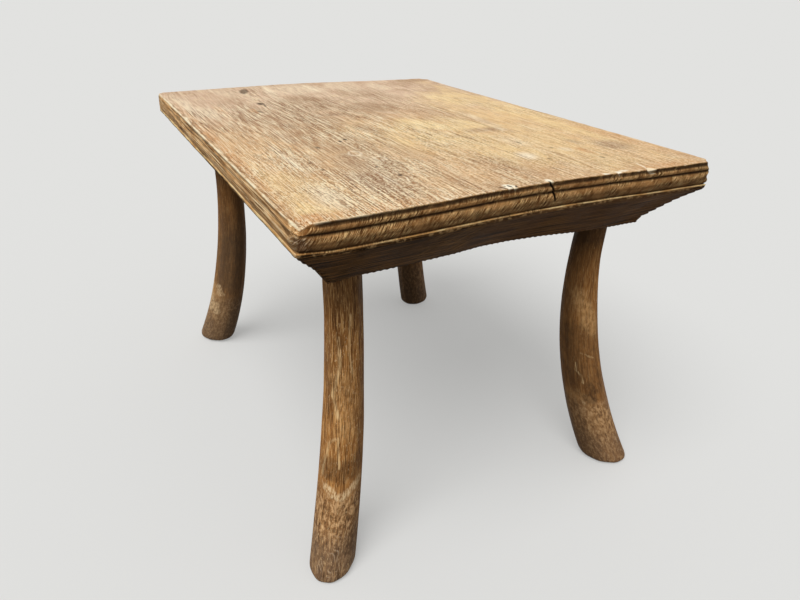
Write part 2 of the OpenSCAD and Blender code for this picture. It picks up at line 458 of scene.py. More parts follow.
def crown(x, y):
    """How far the slab has moved up at a place, because its ends are crowned with age."""
    front, back = (rise * np.exp(-((y - middle) / spread) ** 2) - sunk
                   for rise, middle, spread, sunk in (FRONT_CROWN, BACK_CROWN))
    front = front - FRONT_FALL * y
    share = np.clip((x + HALF_LEN) / (2 * HALF_LEN), 0, 1)
    return back + (front - back) * share


def uneven(points, depth):
    """Sets the heights of the moulding and the foot of the front chamfer as the hand left them."""
    x, y, z = points.T
    left = smooth(-196, -232, y)
    factor = END_MOULDING + (LEFT_MOULDING - END_MOULDING) * left
    lip = LIP_FOOT * factor
    lower = lip + (depth - LIP_FOOT) * (TOP_Z - UNDER_Z - lip) / CHAMFER_H
    z += depth - np.where(depth < LIP_FOOT, depth * factor, lower)
    part = np.clip((depth - LIP_FOOT) / CHAMFER_H, 0, 1)
    x += np.interp(y, *zip(*FOOT_LINE)) * smooth(195, 250, x) * part
    front = smooth(60, 280, x)
    y += NEAR_HIP_IN * np.sin(math.pi * part) * front * smooth(-100, -180, y)
    far = front * smooth(100, 180, y)
    y -= FAR_HIP_IN * part ** 2 * far
    z += FAR_HIP_UP * smooth(0, 0.5, part) * smooth(1.0, 0.93, part) * far
    wander = MOULDING_WANDER * rough(points, (60, 48, EVEN), 121, 3)
    z += wander * smooth(1, 4, depth) * smooth(LIP_FOOT + 10, LIP_FOOT, depth)
    y += LEFT_LEAN * left * smooth(-200, 100, x) * smooth(LIP_FOOT + 6, LIP_FOOT, depth)


def splay(points, depth):
    """How far the right side leans out towards the front, most at its top edge."""
    x, y, z = points.T
    level = np.interp(depth, [0, 9, 15, LIP_FOOT, LIP_FOOT + CHAMFER_H], [1, 0.8, 0.6, 0.32, 0])
    return FAR_CORNER_OUT * level * smooth(-150, 300, x) * smooth(60, 225, y)


def plane_edge(points, rub, axis, sign, wear):
    """Planes the top edge of one side away by a depth for each point, on three slopes."""
    out, z = points[:, axis], points[:, 2]
    half = (HALF_LEN, HALF_WID)[axis]
    reach = smooth(RISER_H + 2, RISER_H - 1, TOP_Z - z)
    for slope, share in ((22, 0.55), (45, 1.0), (70, 0.6)):
        across, up = math.cos(math.radians(slope)), math.sin(math.radians(slope))
        over = (out * sign - half) * across + (z - TOP_Z) * up + TOP_INSET * across + wear * share
        over = np.clip(over, 0, None) * reach
        out -= sign * across * over
        z -= up * over
        rub += over


# Wear of each top edge: axis and sign of its side, its mean depth, and the bumps that broad and
# fine wear add, as depth, sizes along and across, and seed
EDGE_WEAR = [
    (0, 1, 0.2, (0.2, 40, 26, 11), (0.25, 9, 6, 13)),
    (1, -1, 0.75, (0.7, 30, 40, 21), (0.55, 8, 9, 23)),
    (0, -1, 0.6, (0.5, 40, 24, 31), (0.3, 9, 7, 33)),
    (1, 1, 0.7, (0.6, 34, 40, 41), (0.4, 9, 9, 43)),
]


def wear_edges(points, rub):
    """Wears the four top edges unevenly, with chips along the front end."""
    drawn = points.copy()
    for axis, sign, mean, *bumps in EDGE_WEAR:
        wear = mean + sum(deep * rough(drawn, (x, y, EVEN), seed) for deep, x, y, seed in bumps)
        if (axis, sign) == (0, 1):
            for place, half_width, deep in FRONT_CHIPS:
                wear += deep * np.clip(1.2 - 1.2 * np.abs(drawn[:, 1] - place) / half_width, 0, 1)
        plane_edge(points, rub, axis, sign, np.clip(wear, 0.1, None))


# Depth of the small wear: lumps of the corners, dents and splits of the sides, teeth of the lip as
# how far in and up, waves and raised grain of the top, and saw marks of the end chamfers
CORNER_LUMPS = 0.8
SIDE_DENTS = 0.22
SIDE_SPLITS = 0.63
LIP_TEETH = (0.9, 0.7)
TOP_WAVES = 0.35
TOP_GRAIN = 0.12
SAW_DEPTH = 0.22


def wear_corners(points, rub):
    """Wears each corner of the top down to a ball."""
    for (side_x, side_y), (radius, back) in CORNER_BALLS.items():
        lumpy = radius + CORNER_LUMPS * rough(points, (7, 7, 5), 51)
        centre = np.array([side_x * (HALF_LEN - radius - back), side_y * (HALF_WID - radius - back),
                           TOP_Z - radius])
        off = points - centre
        corner = smooth(0, radius * 0.6, off[:, 0] * side_x) * smooth(0, radius * 0.6, off[:, 1] * side_y)
        off[:, 2] = np.clip(off[:, 2], 0, None)
        far = np.linalg.norm(off, axis=1) + 1e-9
        cut = np.clip(far - lumpy, 0, None) * smooth(LARGE_BEAD_FOOT, GROOVE_FOOT + 5, TOP_Z - points[:, 2])
        cut *= corner
        points -= off / far[:, None] * cut[:, None]
        rub += np.clip(0.2 * cut, 0, 0.3)


def flatten_moulding(points, inset, depth):
    """Wears the moulding almost flat at the back left corner, by filling it out to one face."""
    x, y, z = points.T
    push = (inset - FLAT_INSET) * smooth(LIP_FOOT + 1, LIP_FOOT - 3, depth)
    at_corner = smooth(120, 20, np.hypot(x + HALF_LEN, y + HALF_WID))
    on_left = np.maximum(at_corner, LEFT_WORN * smooth(HALF_LEN - 5, HALF_LEN - 40, x))
    x -= push * at_corner * smooth(12 - HALF_LEN, 5 - HALF_LEN, x)
    y -= push * on_left * smooth(12 - HALF_WID, 5 - HALF_WID, y)


def wear_sides(points, outward, depth):
    """Dents and splits of the moulding along the sides, pushed inward only."""
    on_moulding = smooth(0.5, 3.0, depth) * smooth(LIP_FOOT + 6, LIP_FOOT, depth)
    dents = SIDE_DENTS * (1 + rough(points, (26, 26, 9), 61))
    splits = smooth(0.3, 0.7, rough(points, (70, EVEN, 1.3), 65, 3)) * np.abs(outward[:, 1])
    splits *= smooth(-260, -120, points[:, 0])
    points[:, :2] -= outward * ((dents + SIDE_SPLITS * splits) * on_moulding)[:, None]
    return splits * on_moulding


def wear_lip(points, outward, depth):
    """Small teeth along the lower edge of the lip."""
    near = smooth(1.6, 0.2, np.abs(depth - LIP_FOOT)) * np.linalg.norm(outward, axis=1)
    teeth = smooth(0.1, 0.9, rough(points, (11, 11, EVEN), 71, 3)) * near
    points[:, :2] -= outward * (LIP_TEETH[0] * teeth)[:, None]
    points[:, 2] += LIP_TEETH[1] * teeth


def open_crack(points, outward, depth, side):
    """The drying crack in the front end, and the step between its two sides."""
    x, y, z = points.T
    on_front = smooth(HALF_LEN - 30, HALF_LEN - 8, x) * smooth(26, 20, depth)
    off = y - CRACK_Y
    y += CRACK_RUN * depth / CRACK_FOOT * on_front * smooth(6.5, 2.0, np.abs(off))
    wide = CRACK_HALF * (1 - 0.4 * depth / CRACK_FOOT) + 0.25 * rough(points, (EVEN, EVEN, 3), 81)
    gap = smooth(wide + 0.35, wide - 0.3, np.abs(off)) * smooth(CRACK_FOOT + 1, CRACK_FOOT - 3, depth)
    front = np.clip(outward[:, 0], 0, 1)
    on_top = (1 - side) * smooth(HALF_LEN - 7, HALF_LEN - 3, x)
    step = smooth(0.2, 0.8, off) * smooth(14, 3, off) * front * smooth(CRACK_FOOT + 6, CRACK_FOOT, depth)
    x -= CRACK_DEEP * gap * front + CRACK_STEP * step
    z -= CRACK_SUNK * gap * on_top * smooth(0.6, 0.1, np.abs(off))
    return gap * (front + on_top)


def wear_top(points, depth):
    """Hollows, planed waves and raised grain of the top face, pushed down only."""
    waves = TOP_WAVES * (1 + rough(points, (170, 60, EVEN), 91) / 1.5)
    grain = TOP_GRAIN * (1 + rough(points, (60, 4.4, EVEN), 95))
    points[:, 2] -= np.clip(waves + grain, 0, None) * smooth(8, 0.5, depth)


def wear_end_chamfer(points, outward, depth):
    """Faint flat saw marks on the chamfers of the ends."""
    on_end = np.abs(outward[:, 0]) * smooth(LIP_FOOT + 2, LIP_FOOT + 5, depth)
    on_end *= smooth(CHAMFER_H + LIP_FOOT, CHAMFER_H + LIP_FOOT - 3, depth)
    marks = SAW_DEPTH * (1 + rough(points, (EVEN, 70, 3.2), 101))
    points[:, 0] -= np.sign(points[:, 0]) * marks * on_end


def cut_strokes(points, under):
    """Rounded tool strokes along the underside, whose ends show on the chamfers of the ends."""
    x, y, z = points.T
    inset = LIP_IN + CHAMFER_IN
    pitch = (HALF_WID - RIM) / MIDDLE_LINES * (HALF_WID - inset) / HALF_WID * UNDER_LINES
    deeper = 1 + 0.5 * rough(points, (EVEN, 9, EVEN), 113) + 0.5 * smooth(-130, -90, y) * smooth(30, 0, y)
    rise = UNDER_DEPTH * deeper * (1 - np.abs(np.sin(math.pi * y / pitch)))
    rise = np.clip(rise + 0.2 * rough(points, (120, 7, EVEN), 111), 0.02, None)
    for side, reach in LEGS.values():
        away = np.linalg.norm(points[:, :2] - leg_centre(side), axis=1)
        rise *= smooth(LEG_TOP_D / 2, LEG_TOP_D / 2 + 8, away)
    at_end = (np.abs(x) > HALF_LEN - inset - 0.01) & under
    at_side = (np.abs(y) > HALF_WID - inset - 0.01) & under
    rise = np.where(under & ~at_side, rise, 0)
    z += rise
    x += np.where(at_end, np.sign(x) * rise * CHAMFER_IN / CHAMFER_H, 0)


# Dirt and painted shade down the moulding, by depth below the top and how dark: partly dirt and partly
# # painted shade in the riser and the groove, and painted shade on the downward lower face of the large bead
DIRT_AND_SHADE_BY_DEPTH = [
    (0, 0), (0.2, 0.2), (0.8, 1), (RISER_H + 0.1, 1), (RISER_H + 1.2, 0.1), (SMALL_BEAD_FOOT - 1.2, 0.1),
    (SMALL_BEAD_FOOT - 0.3, 1), (GROOVE_FOOT + 0.3, 1), (GROOVE_FOOT + 1.4, 0), (GROOVE_FOOT + 4.5, 0.05),
    (GROOVE_FOOT + 7.0, 0.7), (GROOVE_FOOT + 9.0, 0.45), (LARGE_BEAD_FOOT - 1.5, 0.75),
    (LARGE_BEAD_FOOT, 1), (LARGE_BEAD_FOOT + 0.5, 0.8), (FILLET_FOOT - 0.4, 0.0), (LIP_FOOT, 0)]
# The riser's dirt and painted shade fade away this far from the near corner
RISER_ENDS = 20.0

# Large soft stains on the top face: place, half length, half width, turn in degrees, strength
STAINS = {
    "gold": [
        (60, 30, 62, 38, 40, 1.0), (120, 6, 62, 40, 30, 0.8), (100, 40, 34, 20, 20, 0.6),
        (118, 12, 130, 76, 40, 0.6), (170, 120, 140, 70, 0, 0.5), (-100, 160, 72, 46, 0, 0.75),
        (0, 196, 270, 36, 0, 0.7), (60, 76, 56, 32, 0, 0.8), (200, 56, 56, 34, 0, 0.75),
        (186, 22, 70, 26, 0, 0.6), (60, -15, 26, 10, 0, 0.8), (112, -40, 24, 9, 10, 0.7),
        (-20, 130, 150, 40, 8, 0.4), (268, -205, 34, 22, 0, 0.8), (240, -196, 84, 34, 0, 0.5),
        (190, -212, 70, 12, 0, 0.5),
    ],
    "pale": [
        (-240, -30, 64, 50, 0, 0.55), (-250, -76, 60, 6, -5, 1.0), (-248, -10, 46, 5, 4, 1.0),
        (-168, -84, 24, 9, 0, 0.8), (-206, -84, 50, 5, 0, 0.8), (-120, -188, 44, 18, 0, 0.6),
        (-255, -140, 50, 20, 0, 0.4), (110, -174, 60, 5, 0, 0.7), (215, -80, 18, 3.5, 0, 0.5),
        (30, -150, 60, 8, 0, 0.4), (215, 50, 18, 11, 0, 1.0), (205, 112, 10, 8, 0, 0.6),
        (100, 105, 13, 10, 0, 0.6), (246, -182, 40, 16, 0, 0.7), (-248, 45, 54, 36, 0, 0.5),
        (-180, -214, 90, 14, 0, 0.7), (-110, -70, 30, 18, 0, 0.5), (-35, 15, 20, 8, 30, 0.5),
        (40, 112, 60, 10, -6, 0.4), (-230, 100, 50, 22, -12, 0.5), (160, 78, 26, 14, 0, 0.4),
    ],
    "dark": [
        (225, -128, 46, 26, 0, 1.0), (180, -112, 96, 36, 0, 0.85), (97, 80, 14, 28, 0, 0.8),
        (-164, 55, 16, 30, -18, 0.7), (-138, -42, 60, 20, 0, 1.0), (-70, 10, 40, 50, 0, 0.8),
        (-47, -66, 12, 40, -8, 1.0), (-40, -90, 110, 34, 0, 0.6), (45, -50, 34, 16, 0, 0.7),
        (-130, -62, 70, 44, 0, 0.75), (-60, -142, 90, 34, 0, 0.6), (-160, 60, 60, 40, 0, 0.5),
        (-260, 160, 40, 40, 0, 0.4), (205, 178, 26, 28, 0, 0.8), (180, 146, 16, 8, 0, 0.6),
        (235, 14, 36, 10, 0, 0.35), (30, -120, 120, 34, 0, 0.6), (112, -90, 110, 22, 0, 0.65),
        (130, -60, 90, 16, 0, 0.45), (-280, 190, 16, 40, 0, 0.7), (-195, 20, 40, 20, 0, 0.4),
        (245, -65, 46, 18, 0, 0.4), (-150, -140, 60, 12, 0, 0.4),
    ],
    "brown": [
        (287, -210, 13, 20, 0, 1.0), (30, -222, 270, 7, 0, 0.6), (288, -150, 10, 80, 0, 0.7),
        (216, 129, 14, 6, 0, 0.8), (91, 33, 30, 6, 43, 0.5), (170, 214, 110, 12, 0, 0.5),
        (290, 170, 10, 62, 0, 0.8), (-130, -178, 50, 8, 0, 0.5), (-110, -140, 16, 6, 0, 0.7),
    ],
}
# Colour of each stain, from 0 to 255
STAIN_COLOURS = {"gold": (255, 222, 160), "pale": (255, 234, 202), "dark": (170, 132, 100),
                 "brown": (216, 156, 100)}
# The pale line along the top edges, partly worn pale wood and partly a painted highlight on the worn bevel,
# reaches this far in
ARRIS_LEFT = 4.7
ARRIS_FRONT = 3.2


def arris_line(points, depth):
    """The pale broken line along the top edges, partly worn pale wood and partly a painted highlight on the
    worn bevel, widest on the left side, and the dark seam beside it.
    """
    x, y, z = points.T
    left = y + HALF_WID
    front = HALF_LEN - x
    wavy = 1.3 * rough(points, (13, 26, EVEN), 141, 3)
    broken = smooth(-0.6, 0.1, rough(points, (12, 9, EVEN), 145))
    on_left = smooth(ARRIS_LEFT + 0.9, ARRIS_LEFT - 0.6, left + wavy) * smooth(-290, -200, x)
    on_front = 0.5 * smooth(ARRIS_FRONT + 0.8, ARRIS_FRONT - 0.6, front + wavy) * smooth(-100, -190, y)
    inward = left + wavy - ARRIS_LEFT
    seam = smooth(0.3, 1.1, inward) * smooth(2.8, 1.8, inward) * smooth(-290, -200, x)
    seam *= smooth(-0.3, 0.3, rough(points, (20, 60, EVEN), 147)) * smooth(1.5, 0.5, depth)
    return np.maximum(on_left, on_front) * broken * smooth(2.2, 1.0, depth), seam


def soft_ovals(points, side, shade):
    """How strongly each point of the top face is stained with a shade, 0 to 1."""
    total = np.zeros(len(points))
    ragged = 0.3 * rough(points, (26, 16, EVEN), 131, 3)
    for x, y, half_x, half_y, turn, strength in STAINS[shade]:
        a = math.radians(turn)
        off_x, off_y = points[:, 0] - x, points[:, 1] - y
        along = (off_x * math.cos(a) + off_y * math.sin(a)) / half_x
        across = (off_y * math.cos(a) - off_x * math.sin(a)) / half_y
        oval = smooth(1.25, 0.35, np.hypot(along, across) + ragged)
        total = np.maximum(total, oval * strength)
    return total * (1 - side)


def wear_slab(points, depth, side, inset, outward, under):
    """Ages the slab, and returns how far each point is rubbed, split and cracked."""
    rub = np.zeros(len(points))
    uneven(points, depth)
    flatten_moulding(points, inset, depth)
    splits = wear_sides(points, outward, depth)
    wear_edges(points, rub)
    wear_corners(points, rub)
    crack = open_crack(points, outward, depth, side)
    wear_top(points, depth)
    wear_lip(points, outward, depth)
    wear_end_chamfer(points, outward, depth)
    cut_strokes(points, under)
    return rub, splits, crack


def dirt_and_shade(points, near, depth, side, left_side):
    """Dirt and painted shade down the moulding: partly dirt and partly painted shade in the riser and the
    groove, painted shade on the lower face of the large bead, and less at some corners and on the left,
    where wear has flattened the moulding.
    """
    groove = np.interp(depth, *zip(*DIRT_AND_SHADE_BY_DEPTH)) * side
    worn_flat = smooth(180, 60, np.hypot(points[:, 0] + HALF_LEN, points[:, 1] + HALF_WID))
    groove *= 1 - 0.75 * worn_flat
    groove *= 1 - 0.6 * left_side
    corner = smooth(RISER_ENDS + 4, RISER_ENDS - 5, near) * smooth(RISER_H + 3, RISER_H + 1, depth)
    return groove * (1 - corner)


def slab_masks(points, drawn, under, rub, splits, crack):
    """Where each part of the slab's skin lies, by name, each 0 to 1."""
    depth, side, outward = drawn[:, 3], drawn[:, 4], drawn[:, 6:]
    left_side = smooth(0.4, 0.8, -outward[:, 1])
    near = np.hypot(drawn[:, 0] - HALF_LEN, drawn[:, 1] + HALF_WID)
    # Dirt and painted shade in the riser, the groove and the splits, and painted shade on the large bead's
    # lower face
    hollow = dirt_and_shade(points, near, depth, side, left_side) + 0.7 * splits
    lip_turn = FILLET_FOOT + LEDGE_EDGE * 0.6 + left_side * (LIP_H - 1)
    below = np.where(under, 1.0, side * smooth(lip_turn - 0.4, lip_turn + 0.3, depth))
    # The ledge above the lip is painted bright: a painted highlight on its upward face
    ledge = side * smooth(LARGE_BEAD_FOOT + 0.45, FILLET_FOOT - 0.4, depth) * (1 - below)
    lip = side * smooth(LIP_FOOT + 1, LIP_FOOT - 1, depth) * below
    scuffed = smooth(20, 5, near) * side * smooth(GROOVE_FOOT, GROOVE_FOOT + 2, depth) * smooth(
        LARGE_BEAD_FOOT + 0.5, LARGE_BEAD_FOOT - 1, depth)
    arris, seam = arris_line(drawn[:, :3], depth)
    masks = {"rub": np.clip(rub / 1.5, 0, 1), "hollow": np.clip(hollow, 0, 1), "crack": crack,
             "below": below, "ledge": ledge, "lip": lip, "scuffed": scuffed, "arris": arris, "seam": seam,
             "side": side, "end": smooth(0.4, 0.8, np.abs(outward[:, 0]))}
    masks.update({shade: soft_ovals(drawn[:, :3], side, shade) for shade in STAINS})
    return masks


def build_slab():
    """The worn slab with its mortises, and masks that say where each part of its skin lies."""
    gx, gy = grid_lines()
    nx, ny = len(gx) - 1, len(gy) - 1
    walk = border(nx, ny)
    drawn, top_count, under_count = slab_points(gx, gy, walk)
    points, depth, side, inset, outward = drawn[:, :3].copy(), *drawn[:, 3:6].T, drawn[:, 6:]
    under_start = len(points) - under_count
    under = np.arange(len(points)) >= under_start
    aged = wear_slab(points, depth, side, inset, outward, under)
    masks = slab_masks(points, drawn, under, *aged)
    points = np.clip(points, [-HALF_LEN, -HALF_WID, UNDER_Z], [HALF_LEN, HALF_WID, TOP_Z])
    points[:, 2] += crown(points[:, 0], points[:, 1])
    points[:, 1] += splay(points, depth)
    faces, edges = slab_faces(gx, gy, walk, top_count, under_start)
    flat_from = len(faces)
    for leg_side, edge in edges:
        faces += mortise_faces(edge, len(points))
        points = np.concatenate([points, mortise_rings(points, edge, leg_side)])
    bored = len(points) - len(drawn)
    masks = {name: np.concatenate([values, np.zeros(bored)]) for name, values in masks.items()}
    # The rims of the mortises take the colour of the underside round them
    masks["below"][len(drawn):] = 1
    masks["flat"] = np.append(under, np.ones(bored))
    masks["bore"] = np.append(np.zeros(len(drawn)), points[len(drawn):, 2] > UNDER_Z + BORE_FROM)
    return make_mesh("slab", points, faces, masks, flat_from)


# Legs

# Each leg: how far its foot has crept along and across from where the CAD part draws it, how much
# weaker its grain is than the near leg's, how far its colour has turned grey, and how much wider it
# is at its very top than the CAD part draws it
LEG_WEAR = {
    "leg_front_left": ((0.0, 0.4), 0.0, 0.0, 0.05),
    "leg_front_right": ((0.6, 1.8), 0.45, 0.05, -0.055),
    "leg_back_left": ((-4.5, -0.5), 0.55, 0.32, 0.0),
    "leg_back_right": ((2.5, -3.5), 0.5, 0.1, 0.0),
}
# Marks on the legs: shade, half width, strength, and the line that the mark follows, as places
# on the leg given by the degrees round from the way that it bends and by the height
LEG_MARKS = {
    "leg_front_left": [
        ("pale", 1.8, 0.9, [(4, 276), (8, 245), (-12, 212), (7, 186)]),
        ("pale", 1.5, 0.8, [(7, 163), (-14, 158), (-26, 138), (-36, 117)]),
        ("pale", 1.2, 0.7, [(7, 163), (11, 146), (15, 130)]),
        ("pale", 1.1, 0.6, [(40, 300), (33, 262), (45, 235)]),
        ("scar", 4.2, 1.0, [(-16, 106), (1, 101), (15, 97), (28, 96), (40, 100), (56, 103), (80, 106)]),
        ("dark", 12.0, 0.7, [(-10, 128), (11, 124), (61, 128)]),
        ("dark", 6.0, 0.6, [(70, 60), (66, 30)]),
        ("gold", 13.0, 0.65, [(-25, 82), (30, 76), (60, 84)]),
        ("gold", 11.0, 0.6, [(0, 230), (30, 200), (25, 170)]),
        ("dark", 0.8, 1.0, [(0, 15), (0, 1)]),
        ("dark", 0.8, 1.0, [(36, 15), (38, 1)]),
    ],
    "leg_front_right": [
        ("pale", 1.0, 0.9, [(-97, 153), (-100, 142), (-87, 135), (-85, 124)]),
        ("pale", 0.9, 0.8, [(-86, 168), (-70, 167), (-55, 163), (-45, 162)]),
        ("dark", 7.0, 0.9, [(-66, 121), (-64, 112), (-72, 101)]),
        ("gold", 10.0, 0.9, [(-94, 247), (-63, 228), (-41, 200)]),
        ("gold", 18.0, 1.0, [(-118, 73), (-97, 66), (-49, 72), (-30, 66)]),
        ("scar", 1.6, 0.5, [(-95, 96), (-88, 92)]),
        ("dark", 14.0, 0.8, [(-155, 326), (-40, 330)]),
        ("dark", 26.0, 0.6, [(-80, 182), (-70, 132)]),
        ("gold", 12.0, 0.6, [(-120, 100), (-90, 96)]),
        ("gold", 16.0, 0.7, [(-110, 52), (-60, 48)]),
    ],
    "leg_back_left": [
        ("scar", 8.0, 0.8, [(20, 132), (34, 112)]), ("scar", 5.0, 0.7, [(84, 118), (94, 106)]),
        ("scar", 10.0, 0.8, [(36, 98), (56, 78)]), ("scar", 5.0, 0.7, [(84, 82), (92, 68)]),
        ("gold", 22.0, 1.0, [(20, 106), (80, 66)]),
        ("dark", 22.0, 0.7, [(120, 200), (140, 130)]), ("dark", 34.0, 0.5, [(110, 330), (150, 200)]),
        ("dark", 20.0, 0.5, [(60, 190), (120, 140)]),
    ],
    "leg_back_right": [
        # Broad dark marks over the whole leg: painted shade, as it stands under the table
        ("dark", 60.0, 0.8, [(-180, 340), (-180, 10)]),
        ("dark", 60.0, 0.8, [(0, 340), (0, 10)]),
    ],
}
LEG_SHADES = ("pale", "scar", "gold", "dark")
# Growth rings that show on a foot, round this place, this far apart
FOOT_RINGS = (12.0, 30.0)
RING_PITCH = 3.4
# Hand work on a leg: depth of its lumps, ridges and flats, how many flats go round it, and how much
# fuller it stays at its top
LEG_LUMPS = 0.3
LEG_RIDGES = 0.12
LEG_FLATS = 0.25
FLATS_ROUND = 9
LEG_TOP_FULLER = 1.1
# The lit side of a leg looks out this way, along and across, and the side behind it, facing in under the
# table, is darkened with painted shade
LIT_SIDE_WAY = (0.35, 0.94)


def line_mark(angle, z, line, half_width, ragged):
    """1 on a line along the skin of a leg, 0 beside it."""
    skin = (LEG_TOP_D + FOOT_WIDE) / 4
    across = np.remainder(angle + math.pi, 2 * math.pi) * skin
    spots = [(np.remainder(math.radians(turn) + math.pi, 2 * math.pi) * skin, up) for turn, up in line]
    nearest = np.full(len(z), 1e9)
    for (x0, z0), (x1, z1) in zip(spots, spots[1:]):
        run, rise = x1 - x0, z1 - z0
        share = np.clip(((across - x0) * run + (z - z0) * rise) / (run ** 2 + rise ** 2), 0, 1)
        nearest = np.minimum(nearest, np.hypot(across - x0 - share * run, z - z0 - share * rise))
    return smooth(1.4, 0.6, nearest / half_width + ragged)


def leg_marks(name, angle, straight, seed):
    """The marks of one leg by shade, each 0 to 1."""
    marks = {shade: np.zeros(len(angle)) for shade in LEG_SHADES}
    ragged = 0.35 * rough(straight, (5, 5, 7), seed + 13)
    for shade, half_width, strength, line in LEG_MARKS[name]:
        found = line_mark(angle, straight[:, 2], line, half_width, ragged) * strength
        marks[shade] = np.maximum(marks[shade], found)
    return marks


def tenon_points(centre, height):
    """Rings of a tenon from its shoulder to its end, each in two halves beside the saw cut."""
    end = height + TENON_LEN
    radius = TENON_D / 2
    bevel_half = SLOT_END_HALF - (SLOT_END_HALF - SLOT_FOOT_HALF) * TENON_CHAMFER / SLOT_DEEP
    levels = [(height, radius, SLOT_FOOT_HALF), (end - SLOT_DEEP, radius, SLOT_FOOT_HALF),
              (end - TENON_CHAMFER, radius, bevel_half), (end, radius - TENON_CHAMFER, SLOT_END_HALF)]
    rings = []
    for z, r, slot_half in levels:
        spread = math.pi / 2 - math.asin(slot_half / r)
        arc = np.linspace(-spread, spread, LEG_SIDES // 2)
        angle = np.concatenate([arc, arc + math.pi])
        rings.append(np.column_stack([centre[0] + r * np.cos(angle), centre[1] + r * np.sin(angle),
                                      np.full(LEG_SIDES, z)]))
    return np.concatenate(rings)


def tenon_faces(start, turn):
    """Faces from the first ring of a leg over its shoulder to the end of its tenon, with the saw cut."""
    half = LEG_SIDES // 2
    rings = [list(range(start + LEG_SIDES * i, start + LEG_SIDES * (i + 1))) for i in range(4)]
    faces = []
    for k in range(LEG_SIDES):
        n = (k + 1) % LEG_SIDES
        a, b = (k + turn) % LEG_SIDES, (n + turn) % LEG_SIDES
        faces.append((k, n, rings[0][b], rings[0][a]))
        faces.append((rings[0][k], rings[0][n], rings[1][n], rings[1][k]))
    faces.append((rings[1][0], rings[1][half - 1], rings[1][half], rings[1][-1]))
    for first in (0, half):
        last = first + half - 1
        for lower, upper in zip(rings[1:], rings[2:]):
            faces += [(lower[k], lower[k + 1], upper[k + 1], upper[k]) for k in range(first, last)]
            faces.append((lower[last], lower[first], upper[first], upper[last]))
        faces.append(tuple(rings[3][first:last + 1]))
    return faces


def growth_rings(angle, straight, seed):
    """Growth rings on a foot, from -1 in their dark lines to 1 in their pale ones, and 0 elsewhere."""
    skin = np.remainder(angle - math.radians(FOOT_RINGS[0]) + math.pi, 2 * math.pi) - math.pi
    away = np.hypot(skin * FOOT_WIDE / 2, (straight[:, 2] - FOOT_RINGS[1]) * 0.8)
    bent = away + 3.2 * rough(straight, (11, 11, 13), seed + 17)
    broken = smooth(-0.5, 0.5, rough(straight, (6, 6, 8), seed + 19))
    return np.sin(2 * math.pi * bent / RING_PITCH) * smooth(34, 12, away) * broken


def leg_faces(ring_count):
    """Faces between the rings of a leg, from its top ring down, and its sole."""
    faces = []
    for start in range(0, (ring_count - 1) * LEG_SIDES, LEG_SIDES):
        for k in range(LEG_SIDES):
            n = (k + 1) % LEG_SIDES
            faces.append((start + k, start + LEG_SIDES + k, start + LEG_SIDES + n, start + n))
    last = (ring_count - 1) * LEG_SIDES
    faces.append(tuple(range(last, last + LEG_SIDES)))
    return faces


def leg_section(t, z, top_wider):
    """Half sizes of a leg along its bend and across it, t of the way down to the floor."""
    swell = 1 - (1 - t) ** SWELL_POWER
    deep = (LEG_TOP_D + (FOOT_DEEP - LEG_TOP_D) * swell) / 2
    wide = (LEG_TOP_D + (FOOT_WIDE - LEG_TOP_D) * swell) / 2
    wider = 1 + top_wider * smooth(UNDER_Z - 150, UNDER_Z - 10, z)
    return deep * wider, wide * wider


def leg_inset(angle, straight, seed):
    """How far the skin of a leg lies in: the rounding of its sole, and its lumps, flats and ridges."""
    z = straight[:, 2]
    below = np.clip(SOLE_ROUND - z, 0, SOLE_ROUND)
    sole = SOLE_ROUND - np.sqrt(SOLE_ROUND ** 2 - below ** 2)
    lumps = LEG_LUMPS * rough(straight, (24, 24, 70), seed)
    flats = LEG_FLATS * np.cos(FLATS_ROUND * angle + 2 * rough(straight, (60, 60, 120), seed + 7))
    ridges = LEG_RIDGES * rough(straight, (3.2, 3.2, 40), seed + 11)
    down = UNDER_Z - z
    return sole + (lumps + flats + ridges) * smooth(0, 25, down) - LEG_TOP_FULLER * smooth(60, 0, down)


